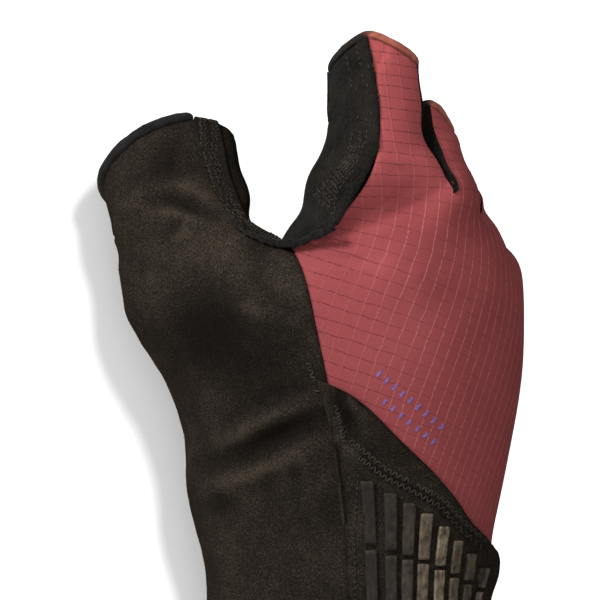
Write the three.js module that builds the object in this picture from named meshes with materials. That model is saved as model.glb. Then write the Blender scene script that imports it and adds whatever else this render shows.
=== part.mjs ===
// Short-finger cycling glove for the right hand, lying palm down as if a hand filled it.
// Millimetres, +Z up, +Y towards the fingers, the thumb on the -X side.
import * as THREE from 'three';

// Cloth and seams
const CLOTH = 1.5;
const SEAM_GAP = 0.3;
const HEM_WIDTH = 2.1;
const HEM_PROUD = 0.4;
const PIPING_RADIUS = 1.1;
const PIPING_LIFT = 0.9;

// Flap over the wrist and the silicone bars on it
const FLAP_LIFT = 0.55;
const FLAP_CLOTH = 1.2;
const FLAP_FROM_CUFF = 2.6;
const BAR_COUNT = 10;
const BAR_FIRST = 0.08;
const BAR_PITCH = 0.089;
const BAR_WIDTH = 0.05;
const BAR_HEIGHT = 0.9;
const BAR_ROW_GAP = 1.2;
// The ends of the upper row's bars: distance from the cuff at either side of the back
const BAR_TOP = [48, 11];
const BAR_FOOT = [30, 11];
const BAR_LOWEST = 8;

// Mesh density: cells across a finger, across its side, round the thumb, and rows
const SPAN_CELLS = 3;
const SIDE_CELLS = 2;
const THUMB_CELLS = 10;
const GUSSET_CELLS = 3;
const ROW_STEPS = 2;
const HALF_STEPS = ROW_STEPS / 2;
const PIPING_STEPS = 14;
const PIPING_SIDES = 4;
const FLAP_COLUMNS = 20;
const FLAP_ROWS = 8;
const BAR_COLUMNS = 2;
const BAR_ROWS = 4;
// Points across the back that the patches are laid on
const BACK_SAMPLES = 100;

// Sections of the hand from the cuff to the web of the thumb, each as x and z of named points.
// y is the section's place on the thumb side, outerY its place on the outer side.
const handSections = [
  { y: 2.4, outerY: 2.4, seam: [14, 40], back: [33, 35.5], outer: [46, 20], edge: [43, 8], heel: [33, 0],
    palm: [17, 0], hollow: [2, 0], pad: [-12, 0], thumb: [-25, 15], shoulder: [-12, 34] },
  { y: 22, outerY: 21, seam: [13.5, 43], back: [34, 38], outer: [47.7, 21], edge: [45, 9], heel: [35, 0],
    palm: [18, 0], hollow: [2, 0], pad: [-12, 0], thumb: [-25.6, 16], shoulder: [-13, 36] },
  { y: 45, outerY: 43, seam: [11.5, 49], back: [36, 44], outer: [52.4, 24], edge: [50, 10], heel: [39, 0],
    palm: [20, 0], hollow: [2, 0], pad: [-13, 0], thumb: [-29, 16], shoulder: [-15, 40] },
  { y: 65, outerY: 60, seam: [8, 55], back: [36, 50.5], outer: [55.2, 27], edge: [53.5, 11], heel: [43, 0],
    palm: [21, 0.5], hollow: [2, 1.5], pad: [-16, 0], thumb: [-33.5, 16], shoulder: [-18, 44] },
  { y: 84, outerY: 76, seam: [4, 59], back: [33, 57], outer: [57, 30], edge: [56, 11], heel: [46, 0],
    palm: [24, 3], hollow: [0, 8], pad: [-20, 0], thumb: [-42.2, 16], shoulder: [-22, 45] },
  { y: 97, outerY: 87, seam: [1.2, 59], back: [29, 61], outer: [56.8, 31], edge: [56.3, 10], heel: [45, 0],
    palm: [25, 9], hollow: [-2, 18], pad: [-23, 1], thumb: [-47.6, 17], shoulder: [-25, 44] },
  { y: 104.6, outerY: 93, seam: [-1.5, 54], back: [26, 64], outer: [55.6, 31], edge: [56, 9], heel: [43, 0],
    palm: [25, 16], hollow: [-4, 28], pad: [-25, 3], thumb: [-49, 17], shoulder: [-26, 42] },
];
// How far each named point follows outerY instead of y
const outerShare = {
  seam: 0, back: 0.4, outer: 1, edge: 1, heel: 1, palm: 0.5, hollow: 0, pad: 0, thumb: 0, shoulder: 0,
};

// Fingers: centres of the first and last section. Each section, first, middle and last, has a width,
// a thickness, and a turn, which is how far the back is turned to the outer side, in degrees.
// rise is how far the rim's top runs on.
const fingers = [
  { name: 'index', base: [19, 119, 55.8], tip: [18.7, 149.8, 46],
    widths: [27, 22.5, 20.5], depths: [20, 19.75, 19.5], turns: [46, 54, 37], rise: 6 },
  { name: 'middle', base: [34.2, 116, 41.9], tip: [30.6, 133.6, 33],
    widths: [19, 18.4, 18.4], depths: [19, 18.5, 18], turns: [56, 56, 56], rise: 3 },
  { name: 'ring', base: [42, 107, 28], tip: [34.2, 119.5, 18.6],
    widths: [17, 16.75, 16.5], depths: [17, 16.25, 15.5], turns: [70, 70, 70], rise: 1 },
  { name: 'little', base: [46.5, 97, 11], tip: [35.6, 106.6, 7],
    widths: [15, 14.5, 14], depths: [15, 13.75, 12.5], turns: [80, 80, 80], rise: 1 },
];
const FINGER_BULGE = 2;
const BASE_CORNER = 0.46;
const TIP_CORNER = 0.42;
const FINGER_ARCH = 1.5;
const WEB_BOW = new THREE.Vector3(2.4, -2.4, 0.8);

// Thumb: sections of the sleeve beyond the web. across is the direction of the broad way,
// seamAngle where the upper and lower seams of the inner panel sit, from the inner end.
const thumbSections = [
  { centre: [-30.8, 115.5, 21], size: [38.5, 27], across: [0.93, 0.36, 0.06], seamAngle: 59 },
  { centre: [-34.6, 125.6, 18], size: [36.4, 20], across: [0.885, 0.465, 0.04], seamAngle: 47 },
];
const THUMB_TILT = 28;
const THUMB_RISE = 6;
// How far the upper thumb seam is bowed back towards the hand, halfway from the web to the sleeve,
// and how much of that the columns beside it follow, the seam itself last
const THUMB_BOW = new THREE.Vector3(-4.3, -4, 1.4);
const BOW_SHARES = [0.2, 0.55, 1];

// Upper edge of the flap: across is the share of the back's width from the suede seam
const flapEdge = [
  { across: 0, y: 70 },
  { across: 0.08, y: 67 },
  { across: 0.22, y: 55 },
  { across: 0.42, y: 42 },
  { across: 0.55, y: 34 },
  { across: 0.78, y: 26.5 },
  { across: 1, y: 23 },
];

// Finishes
const suede = { color: '#241d1a', roughness: 0.95, metalness: 0 };
const darkSuede = { color: '#1f1a18', roughness: 0.95, metalness: 0 };
const ripstop = { color: '#9e4e4e', roughness: 0.8, metalness: 0 };
const knit = { color: '#1d1a18', roughness: 0.9, metalness: 0 };
const binding = { color: '#1b1a1a', roughness: 0.85, metalness: 0 };
const coral = { color: '#9f523f', roughness: 0.8, metalness: 0 };
const silicone = { color: '#4a433e', roughness: 0.45, metalness: 0 };

const glove = new THREE.Group();

function addPiece(name, geometry, finish) {
  const mesh = new THREE.Mesh(geometry, new THREE.MeshStandardMaterial(finish));
  mesh.name = name;
  glove.add(mesh);
}

// Points at even lengths along a curve between two of its parameters
function evenPoints(curve, from, to, cells) {
  const FINE = 64;
  const fine = [];
  const length = [0];
  for (let i = 0; i <= FINE; i++) {
    fine.push(curve.getPoint((from + (to - from) * i / FINE) % 1));
    if (i > 0) length.push(length[i - 1] + fine[i].distanceTo(fine[i - 1]));
  }
  const points = [];
  let i = 1;
  for (let cell = 0; cell <= cells; cell++) {
    const goal = length[FINE] * cell / cells;
    while (i < FINE && length[i] < goal) i++;
    const share = (goal - length[i - 1]) / (length[i] - length[i - 1]);
    points.push(fine[i - 1].clone().lerp(fine[i], share));
  }
  return points;
}

// Points of a smooth line through stops, between two of them, with the same steps in each interval
function smoothLine(stops, first, last) {
  const curve = new THREE.CatmullRomCurve3(stops, false, 'centripetal');
  const steps = (stops.length - 1) * ROW_STEPS;
  const points = [];
  for (let i = first * ROW_STEPS; i <= last * ROW_STEPS; i++) points.push(curve.getPoint(i / steps));
  return points;
}

// Points on a shallow arc from a to b that bulges outwards
function arcPoints(a, b, outwards, bulge, cells) {
  const points = [];
  for (let i = 0; i <= cells; i++) {
    const share = i / cells;
    const height = 4 * bulge * share * (1 - share);
    points.push(a.clone().lerp(b, share).addScaledVector(outwards, height));
  }
  return points;
}

function average(a, b) {
  return a.clone().lerp(b, 0.5);
}

// The hand's ring at one section: a closed curve through the named points
const ringNames = Object.keys(outerShare);
function handRing(section) {
  const points = ringNames.map((name) => {
    const [x, z] = section[name];
    const y = section.y + (section.outerY - section.y) * outerShare[name];
    return new THREE.Vector3(x, y, z);
  });
  return new THREE.CatmullRomCurve3(points, true, 'centripetal');
}
function ringShare(name) {
  return ringNames.indexOf(name) / ringNames.length;
}

// Columns round the hand: four finger backs, the outer side, four finger fronts, the thumb
const BACK_CELLS = fingers.length * SPAN_CELLS;
const PALM_START = BACK_CELLS + SIDE_CELLS;
const THUMB_START = PALM_START + BACK_CELLS;
const COLUMNS = THUMB_START + THUMB_CELLS;
function ringColumns(section) {
  const ring = handRing(section);
  return [
    ...evenPoints(ring, ringShare('seam'), ringShare('edge'), BACK_CELLS).slice(0, -1),
    ...evenPoints(ring, ringShare('edge'), ringShare('heel'), SIDE_CELLS).slice(0, -1),
    ...evenPoints(ring, ringShare('heel'), ringShare('hollow'), BACK_CELLS).slice(0, -1),
    ...evenPoints(ring, ringShare('hollow'), 1, THUMB_CELLS).slice(0, -1),
  ];
}
const handColumns = handSections.map(ringColumns);

// A finger's section: its frame and its four corners, from the back on the thumb side round.
// corner is how far out the corners lie, as a share of the size: less makes a rounder section.
function fingerSection(centre, finger, row, axis, corner) {
  const size = [finger.widths[row], finger.depths[row]];
  const lean = THREE.MathUtils.degToRad(finger.turns[row]);
  const up = new THREE.Vector3(Math.sin(lean), 0, Math.cos(lean));
  up.addScaledVector(axis, -up.dot(axis)).normalize();
  const across = new THREE.Vector3().crossVectors(axis, up);
  const point = (side, face) => centre.clone()
    .addScaledVector(across, side * size[0] * corner)
    .addScaledVector(up, face * size[1] * corner);
  return { axis, up, across, corners: [point(-1, 1), point(1, 1), point(1, -1), point(-1, -1)] };
}

// The four sides of a finger's section as arcs: back, outer side, front, inner side
function fingerArcs(section, sideBulges) {
  const [backInner, backOuter, frontOuter, frontInner] = section.corners;
  const { up, across } = section;
  const down = up.clone().negate();
  const inward = across.clone().negate();
  return [
    arcPoints(backInner, backOuter, up, FINGER_BULGE, SPAN_CELLS),
    arcPoints(backOuter, frontOuter, across, sideBulges[0], SIDE_CELLS),
    arcPoints(frontOuter, frontInner, down, FINGER_BULGE, SPAN_CELLS),
    arcPoints(frontInner, backInner, inward, sideBulges[1], SIDE_CELLS),
  ];
}

const forward = new THREE.Vector3(0, 1, 0);
const upward = new THREE.Vector3(0, 0, 1);
const fingerSections = fingers.map((finger) => {
  const base = new THREE.Vector3(...finger.base);
  const tip = new THREE.Vector3(...finger.tip);
  const axis = tip.clone().sub(base).normalize();
  const baseAxis = axis.clone().add(forward).normalize();
  const middle = average(base, tip).addScaledVector(axis.clone().sub(forward), -FINGER_ARCH);
  const last = fingerSection(tip, finger, 2, axis, TIP_CORNER);
  const climb = upward.clone().addScaledVector(axis, -axis.z).normalize();
  const reach = Math.hypot(finger.widths[2], finger.depths[2]) / 2;
  for (const corner of last.corners) {
    const height = corner.clone().sub(tip).dot(climb) / reach;
    corner.addScaledVector(axis, finger.rise * height);
  }
  return [
    fingerSection(base, finger, 0, baseAxis, BASE_CORNER),
    fingerSection(middle, finger, 1, axis, TIP_CORNER),
    last,
  ];
});
// Neighbouring fingers share the corners of their first sections, where the webs are
for (let i = 0; i + 1 < fingers.length; i++) {
  const inner = fingerSections[i][0].corners;
  const outer = fingerSections[i + 1][0].corners;
  inner[1] = outer[0] = average(inner[1], outer[0]);
  inner[2] = outer[3] = average(inner[2], outer[3]);
}
const fingerRings = fingerSections.map((sections, i) => sections.map((section, row) => {
  const outerBulge = row === 0 && i < fingers.length - 1 ? 0 : FINGER_BULGE;
  const innerBulge = row === 0 && i > 0 ? 0 : FINGER_BULGE;
  return fingerArcs(section, [outerBulge, innerBulge]);
}));

// The thumb's rings: the inner panel from the upper seam to the lower, then the sleeve round
const thumbAxes = [];
const thumbRings = thumbSections.map((section, row) => {
  const across = new THREE.Vector3(...section.across).normalize();
  const tilt = THREE.MathUtils.degToRad(THUMB_TILT);
  const level = new THREE.Vector3(-across.y, across.x, 0).normalize();
  const axis = level.multiplyScalar(Math.cos(tilt)).addScaledVector(upward, -Math.sin(tilt));
  axis.addScaledVector(across, -axis.dot(across)).normalize();
  const up = new THREE.Vector3().crossVectors(across, axis);
  thumbAxes.push(axis);
  const seam = THREE.MathUtils.degToRad(section.seamAngle);
  const rise = row === thumbSections.length - 1 ? THUMB_RISE : 0;
  const point = (angle) => new THREE.Vector3(...section.centre)
    .addScaledVector(across, Math.cos(angle) * section.size[0] / 2)
    .addScaledVector(up, Math.sin(angle) * section.size[1] / 2)
    .addScaledVector(axis, Math.sin(angle) * rise);
  const sweep = (from, to, cells) => Array.from({ length: cells + 1 },
    (unused, i) => point(from + (to - from) * i / cells));
  return [sweep(seam, -seam, GUSSET_CELLS), sweep(-seam, seam - 2 * Math.PI, THUMB_CELLS)];
});

// One welded surface for the whole glove; every panel is a set of its four-sided cells
const surface = [];
const lookup = new Map();
function weld(point) {
  const key = [point.x, point.y, point.z].map((value) => Math.round(value * 1e4)).join(' ');
  if (!lookup.has(key)) {
    lookup.set(key, surface.length);
    surface.push(new THREE.Vector3(point.x, point.y, Math.max(0, point.z)));
  }
  return lookup.get(key);
}
const panels = {};
// Columns run round the glove and rows run away from the cuff, so every cell faces out
function addCells(panel, columns) {
  const grid = columns.map((column) => column.map(weld));
  panels[panel] ??= [];
  for (let c = 0; c + 1 < grid.length; c++) {
    for (let r = 0; r + 1 < grid[c].length; r++) {
      panels[panel].push([grid[c][r], grid[c + 1][r], grid[c + 1][r + 1], grid[c][r + 1]]);
    }
  }
  return grid;
}

// Where each column of the hand goes on beyond the last section
const lastRing = handSections.length - 1;
function fingerStops(finger, arc, index) {
  return fingerRings[finger].map((ring) => ring[arc][index]);
}
function onwards(column) {
  if (column < BACK_CELLS) {
    const finger = Math.floor(column / SPAN_CELLS);
    return fingerStops(finger, 0, column % SPAN_CELLS);
  }
  if (column < PALM_START) return fingerStops(fingers.length - 1, 1, column - BACK_CELLS);
  if (column < THUMB_START) {
    const place = column - PALM_START;
    const finger = fingers.length - 1 - Math.floor(place / SPAN_CELLS);
    return fingerStops(finger, 2, place % SPAN_CELLS);
  }
  return thumbRings.map((ring) => ring[1][column - THUMB_START]);
}
const lowerSeam = thumbRings.map((ring) => ring[1][0]);
const upperSeam = thumbRings.map((ring) => ring[0][0]);
const handLines = [];
for (let column = 0; column < COLUMNS; column++) {
  const stops = handColumns.map((ring) => ring[column]);
  let next = onwards(column)[0];
  if (column === 0) next = average(next, upperSeam[0]);
  if (column === THUMB_START) next = average(next, fingerStops(0, 2, SPAN_CELLS)[0]);
  handLines.push(smoothLine([...stops, next], 0, lastRing));
}
handLines.push(handLines[0]);
addCells('back_panel', handLines.slice(0, BACK_CELLS + 1));
addCells('little_side_panel', handLines.slice(BACK_CELLS, PALM_START + 1));
addCells('palm_panel', handLines.slice(PALM_START, THUMB_START + 1));
const cuffRow = handLines.slice(0, COLUMNS).map((line) => weld(line[0]));
addCells('thumb_panel', handLines.slice(THUMB_START));

// From the thumb's web to the webs of the fingers. The seam beside the index finger is bowed.
function webLine(column, stops) {
  const before = handColumns.slice(lastRing - 1).map((ring) => ring[column]);
  const line = smoothLine([...before, stops[0], stops[1]], 1, 2);
  if (column === 0) line[ROW_STEPS / 2].add(WEB_BOW);
  return line;
}
function fingerColumn(column) {
  if (column === THUMB_START) return fingerStops(0, 2, SPAN_CELLS);
  return onwards(column);
}
const webLines = [];
for (let column = 0; column <= THUMB_START; column++) {
  webLines.push(webLine(column, fingerColumn(column)));
}
addCells('back_panel', webLines.slice(0, BACK_CELLS + 1));
addCells('little_side_panel', webLines.slice(BACK_CELLS, PALM_START + 1));
addCells('palm_panel', webLines.slice(PALM_START));

// The web of the thumb runs from the lower seam to the upper one
const webLow = handColumns[lastRing][THUMB_START];
const webHigh = handColumns[lastRing][0];
const webPoints = arcPoints(webLow, webHigh, forward, 0, SIDE_CELLS);
const sideLines = webPoints.map((point, i) => {
  const stops = fingerStops(0, 3, i);
  if (i === 0) return webLines[THUMB_START];
  if (i === SIDE_CELLS) return webLines[0];
  return smoothLine([point, stops[0], stops[1]], 0, 1);
});
addCells('index_side_panel', sideLines);

// Finger sleeves beyond the webs. A line runs on smoothly from the hand wherever it meets one.
function handColumn(finger, arc, place) {
  if (arc === 0) return finger * SPAN_CELLS + place;
  if (arc === 1) return BACK_CELLS + place;
  return PALM_START + (fingers.length - 1 - finger) * SPAN_CELLS + place;
}
function fingerLine(finger, arc, place) {
  const stops = fingerStops(finger, arc, place);
  const atBack = place === (arc === 1 ? 0 : SIDE_CELLS);
  if (arc % 2 === 1 && (place === 0 || place === SIDE_CELLS)) {
    const cornerPlace = arc === 1 ? SPAN_CELLS : 0;
    return atBack ? fingerLine(finger, 0, cornerPlace) : fingerLine(finger, 2, SPAN_CELLS - cornerPlace);
  }
  const outerFinger = finger === fingers.length - 1;
  if (arc === 3 && finger === 0) return smoothLine([webPoints[place], ...stops], 1, 3);
  if (arc === 3 || (arc === 1 && !outerFinger)) return smoothLine(stops, 0, 2);
  return smoothLine([handColumns[lastRing][handColumn(finger, arc, place)], ...stops], 1, 3);
}
const fingerPanels = [
  ['back_panel', 'fourchette_index_middle', 'palm_panel', 'index_side_panel'],
  ['back_panel', 'fourchette_middle_ring', 'palm_panel', 'fourchette_index_middle'],
  ['back_panel', 'fourchette_ring_little', 'palm_panel', 'fourchette_middle_ring'],
  ['back_panel', 'little_side_panel', 'palm_panel', 'fourchette_ring_little'],
];
const fingerRims = fingers.map((finger, i) => {
  const rim = [];
  fingerPanels[i].forEach((panel, arc) => {
    const cells = arc % 2 === 0 ? SPAN_CELLS : SIDE_CELLS;
    const lines = [];
    for (let place = 0; place <= cells; place++) {
      lines.push(fingerLine(i, arc, place));
    }
    const grid = addCells(panel, lines);
    rim.push(...grid.slice(0, -1).map((column) => column[column.length - 1]));
  });
  return rim;
});

// Thumb sleeve and its inner panel beyond the web
const sleeveLines = thumbRings[0][1].map((unused, i) => {
  const column = (THUMB_START + i) % COLUMNS;
  const before = handColumns.slice(lastRing - 1).map((ring) => ring[column]);
  const line = smoothLine([...before, ...thumbRings.map((ring) => ring[1][i])], 1, 3);
  const share = BOW_SHARES[i - THUMB_CELLS + BOW_SHARES.length - 1] ?? 0;
  line[HALF_STEPS].addScaledVector(THUMB_BOW, share);
  return line;
});
const sleeveGrid = addCells('thumb_panel', sleeveLines);
const gussetLines = arcPoints(webHigh, webLow, forward, 0, GUSSET_CELLS).map((point, i) => {
  if (i === 0) return sleeveLines[THUMB_CELLS];
  if (i === GUSSET_CELLS) return sleeveLines[0];
  return smoothLine([point, ...thumbRings.map((ring) => ring[0][i])], 0, 2);
});
addCells('thumb_gusset', gussetLines);

// Outward normals of the welded surface, and how far to go in so that the wall is CLOTH thick
const normals = surface.map(() => new THREE.Vector3());
const faceNormals = surface.map(() => []);
for (const cells of Object.values(panels)) {
  for (const cell of cells) {
    const [a, b, c, d] = cell.map((id) => surface[id]);
    const normal = c.clone().sub(a).cross(d.clone().sub(b)).normalize();
    for (const id of cell) {
      normals[id].add(normal);
      faceNormals[id].push(normal);
    }
  }
}
// How far a sharp corner may reach in or along, so that thin spikes don't form there
const MITRE_LIMIT = 1.5;
const SHARPEST_TRIM = 0.35;
const inset = surface.map((point, id) => {
  normals[id].normalize();
  const spread = faceNormals[id].reduce((sum, face) => sum + face.dot(normals[id]), 0);
  const mitre = faceNormals[id].length / Math.max(spread, 0.01);
  return CLOTH * Math.min(mitre, MITRE_LIMIT);
});

function meshGeometry(points, faces) {
  const geometry = new THREE.BufferGeometry();
  const positions = new Float32Array(points.flatMap((point) => [point.x, point.y, point.z]));
  geometry.setAttribute('position', new THREE.BufferAttribute(positions, 3));
  geometry.setIndex(faces.flatMap((face) => {
    const triangles = [];
    for (let i = 1; i + 1 < face.length; i++) triangles.push(face[0], face[i], face[i + 1]);
    return triangles;
  }));
  geometry.computeVertexNormals();
  return geometry;
}

// A closed solid from an outer skin, the matching inner points, and the skin's four-sided cells
function wallGeometry(outer, inner, cells) {
  const count = outer.length;
  const edges = new Map();
  const faces = [];
  for (const [a, b, c, d] of cells) {
    faces.push([a, b, c, d], [a + count, d + count, c + count, b + count]);
    for (const [from, to] of [[a, b], [b, c], [c, d], [d, a]]) {
      if (edges.has(`${to} ${from}`)) edges.delete(`${to} ${from}`);
      else edges.set(`${from} ${to}`, [from, to]);
    }
  }
  // Neighbours split the wall between them along the same diagonal
  for (const [from, to] of edges.values()) {
    if (from < to) faces.push([from, from + count, to + count, to]);
    else faces.push([to, from, from + count, to + count]);
  }
  return meshGeometry([...outer, ...inner], faces);
}

// Draws a panel's outline in by half the seam gap, along the surface
function trims(cells) {
  const edges = new Map();
  for (const cell of cells) {
    cell.forEach((from, i) => {
      const to = cell[(i + 1) % cell.length];
      if (edges.has(`${to} ${from}`)) edges.delete(`${to} ${from}`);
      else edges.set(`${from} ${to}`, [from, to]);
    });
  }
  const pulls = new Map();
  for (const [from, to] of edges.values()) {
    const along = surface[to].clone().sub(surface[from]);
    for (const id of [from, to]) {
      const inward = normals[id].clone().cross(along).normalize();
      pulls.set(id, [...(pulls.get(id) ?? []), inward]);
    }
  }
  const trim = new Map();
  for (const [id, [first, second]] of pulls) {
    const half = Math.max(1 + first.dot(second), SHARPEST_TRIM);
    trim.set(id, first.clone().add(second).multiplyScalar(SEAM_GAP / 2 / half));
  }
  return trim;
}

function panelGeometry(cells) {
  const trim = trims(cells);
  const ids = [...new Set(cells.flat())].sort((a, b) => a - b);
  const place = new Map(ids.map((id, i) => [id, i]));
  const outer = [];
  const inner = [];
  for (const id of ids) {
    const shift = trim.get(id) ?? new THREE.Vector3();
    outer.push(surface[id].clone().add(shift));
    inner.push(surface[id].clone().add(shift).addScaledVector(normals[id], -inset[id]));
  }
  outer.forEach((point) => { point.z = Math.max(0, point.z); });
  return wallGeometry(outer, inner, cells.map((cell) => cell.map((id) => place.get(id))));
}

const finishes = {
  back_panel: ripstop,
  palm_panel: suede,
  thumb_panel: suede,
  thumb_gusset: darkSuede,
  index_side_panel: knit,
  little_side_panel: knit,
  fourchette_index_middle: knit,
  fourchette_middle_ring: knit,
  fourchette_ring_little: knit,
};
for (const [name, cells] of Object.entries(panels)) addPiece(name, panelGeometry(cells), finishes[name]);

// A turned hem beyond a rim: a band that stands a little proud of the cloth inside and out
function hemGeometry(rim, axis, closed) {
  const points = [];
  for (const id of rim) {
    const out = normals[id].clone().addScaledVector(axis, -normals[id].dot(axis)).normalize();
    const near = surface[id].clone().addScaledVector(axis, SEAM_GAP / 2);
    const far = surface[id].clone().addScaledVector(axis, HEM_WIDTH);
    const lip = CLOTH + HEM_PROUD;
    points.push(
      near.clone().addScaledVector(out, HEM_PROUD), far.clone().addScaledVector(out, HEM_PROUD),
      far.clone().addScaledVector(out, -lip), near.clone().addScaledVector(out, -lip),
    );
  }
  points.forEach((point) => { point.z = Math.max(0, point.z); });
  const faces = [];
  const last = closed ? rim.length : rim.length - 1;
  for (let i = 0; i < last; i++) {
    const here = 4 * i;
    const next = 4 * ((i + 1) % rim.length);
    for (let side = 0; side < 4; side++) {
      const turn = (side + 1) % 4;
      faces.push([here + side, next + side, next + turn, here + turn]);
    }
  }
  if (!closed) {
    const end = 4 * last;
    faces.push([0, 1, 2, 3], [end + 3, end + 2, end + 1, end]);
  }
  return meshGeometry(points, faces);
}
fingers.forEach((finger, i) => {
  const axis = fingerSections[i][2].axis;
  addPiece(`${finger.name}_hem`, hemGeometry(fingerRims[i], axis, true), coral);
});
const thumbRim = sleeveGrid.map((column) => column[column.length - 1]);
addPiece('thumb_binding', hemGeometry(thumbRim, thumbAxes[1], false), binding);
const backward = forward.clone().negate();
addPiece('cuff_binding', hemGeometry([...cuffRow].reverse(), backward, true), binding);

// Rolled seam round the web, over the seams that meet there
const seamIds = [
  ...sleeveGrid[THUMB_CELLS].slice(0, HALF_STEPS + 1).reverse(),
  ...webLines[0].slice(1, HALF_STEPS + 1).map(weld),
];
const pipingStops = seamIds.map((id) => surface[id].clone()
  .addScaledVector(normals[id], PIPING_RADIUS + PIPING_LIFT));
const pipingPath = new THREE.CatmullRomCurve3(pipingStops, false, 'centripetal');
const circle = new THREE.Shape().absarc(0, 0, PIPING_RADIUS, 0, 2 * Math.PI);
addPiece('web_piping', new THREE.ExtrudeGeometry(circle, {
  steps: PIPING_STEPS, curveSegments: PIPING_SIDES, extrudePath: pipingPath, bevelEnabled: false,
}), binding);

// The back as a smooth surface: share of its width from the suede seam, and distance from the cuff
const backRings = handSections.map((section) => evenPoints(handRing(section), ringShare('seam'),
  ringShare('edge'), BACK_SAMPLES));
function backPoint(share, y) {
  const HALVINGS = 24;
  const place = Math.min(Math.max(share, 0), 1) * BACK_SAMPLES;
  const low = Math.min(Math.floor(place), BACK_SAMPLES - 1);
  const stops = backRings.map((ring) => ring[low].clone().lerp(ring[low + 1], place - low));
  const curve = new THREE.CatmullRomCurve3(stops, false, 'centripetal');
  let from = 0;
  let to = 1;
  for (let i = 0; i < HALVINGS; i++) {
    const half = (from + to) / 2;
    if (curve.getPoint(half).y < y) from = half;
    else to = half;
  }
  return curve.getPoint(from);
}
function raisedBack(share, y, height) {
  const STEP_ACROSS = 0.01;
  const STEP_ALONG = 0.5;
  const across = backPoint(share + STEP_ACROSS, y).sub(backPoint(share - STEP_ACROSS, y));
  const along = backPoint(share, y + STEP_ALONG).sub(backPoint(share, y - STEP_ALONG));
  return backPoint(share, y).addScaledVector(across.cross(along).normalize(), height);
}
// A patch laid over the back, between two shares of its width and two lines across it
function patchGeometry(patch) {
  const outer = [];
  const inner = [];
  const cells = [];
  for (let c = 0; c <= patch.columns; c++) {
    const share = patch.from + (patch.to - patch.from) * c / patch.columns;
    for (let r = 0; r <= patch.rows; r++) {
      const y = patch.low(share) + (patch.high(share) - patch.low(share)) * r / patch.rows;
      outer.push(raisedBack(share, y, patch.lift + patch.thick));
      inner.push(raisedBack(share, y, patch.lift));
      const id = c * (patch.rows + 1) + r;
      if (c < patch.columns && r < patch.rows) {
        cells.push([id, id + patch.rows + 1, id + patch.rows + 2, id + 1]);
      }
    }
  }
  return wallGeometry(outer, inner, cells);
}
function flapEdgeY(share) {
  const next = Math.max(1, flapEdge.findIndex((stop) => stop.across >= share));
  const a = flapEdge[next - 1];
  const b = flapEdge[next];
  return THREE.MathUtils.mapLinear(share, a.across, b.across, a.y, b.y);
}
addPiece('wrist_flap', patchGeometry({
  from: 0.01, to: 0.99, columns: FLAP_COLUMNS, rows: FLAP_ROWS, lift: FLAP_LIFT, thick: FLAP_CLOTH,
  low: () => FLAP_FROM_CUFF, high: flapEdgeY,
}), suede);

// Two rows of silicone bars; the upper row's ends follow the flap's slanting edge
const upperTop = (share) => THREE.MathUtils.lerp(BAR_TOP[0], BAR_TOP[1], share);
const upperFoot = (share) => THREE.MathUtils.lerp(BAR_FOOT[0], BAR_FOOT[1], share);
const barRows = [
  { name: 'upper', low: upperFoot, high: upperTop },
  { name: 'lower', low: () => BAR_LOWEST, high: (share) => upperFoot(share) - BAR_ROW_GAP },
];
for (const row of barRows) {
  for (let i = 0; i < BAR_COUNT; i++) {
    const middle = BAR_FIRST + i * BAR_PITCH;
    addPiece(`grip_bar_${row.name}_${i + 1}`, patchGeometry({
      from: middle - BAR_WIDTH / 2, to: middle + BAR_WIDTH / 2,
      columns: BAR_COLUMNS, rows: BAR_ROWS,
      lift: FLAP_LIFT + FLAP_CLOTH + SEAM_GAP, thick: BAR_HEIGHT,
      low: () => row.low(middle), high: () => row.high(middle),
    }), silicone);
  }
}

// The origin is under the middle of the whole glove, on the surface that it lies on
const box = new THREE.Box3().setFromObject(glove);
const middle = box.getCenter(new THREE.Vector3());
glove.position.set(-middle.x, -middle.y, -box.min.z);

export default glove;
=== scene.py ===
import math
from functools import partial

import bmesh
import bpy
import numpy as np
from mathutils import Matrix, Vector, noise
from mathutils.bvhtree import BVHTree
from mathutils.kdtree import KDTree


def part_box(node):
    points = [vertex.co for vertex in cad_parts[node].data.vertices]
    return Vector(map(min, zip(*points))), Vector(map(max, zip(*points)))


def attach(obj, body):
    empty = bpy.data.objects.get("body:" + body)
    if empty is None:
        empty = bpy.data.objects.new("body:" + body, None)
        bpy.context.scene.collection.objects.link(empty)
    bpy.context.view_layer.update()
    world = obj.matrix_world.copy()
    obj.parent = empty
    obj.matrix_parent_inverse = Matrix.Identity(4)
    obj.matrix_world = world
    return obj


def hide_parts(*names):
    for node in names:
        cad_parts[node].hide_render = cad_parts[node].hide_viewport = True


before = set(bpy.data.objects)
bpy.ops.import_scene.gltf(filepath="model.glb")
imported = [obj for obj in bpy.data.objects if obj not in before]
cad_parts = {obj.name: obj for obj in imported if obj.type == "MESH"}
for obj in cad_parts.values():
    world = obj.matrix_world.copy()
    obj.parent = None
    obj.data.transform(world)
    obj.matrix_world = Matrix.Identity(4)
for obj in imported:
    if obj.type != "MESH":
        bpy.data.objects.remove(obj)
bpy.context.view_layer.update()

MM = 0.001


# Materials

def linear(hex_colour):
    """An sRGB colour as the linear numbers that a shader takes."""
    parts = [int(hex_colour[i:i + 2], 16) / 255 for i in (1, 3, 5)]
    return [p / 12.92 if p <= 0.04045 else ((p + 0.055) / 1.055) ** 2.4 for p in parts] + [1.0]


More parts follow.
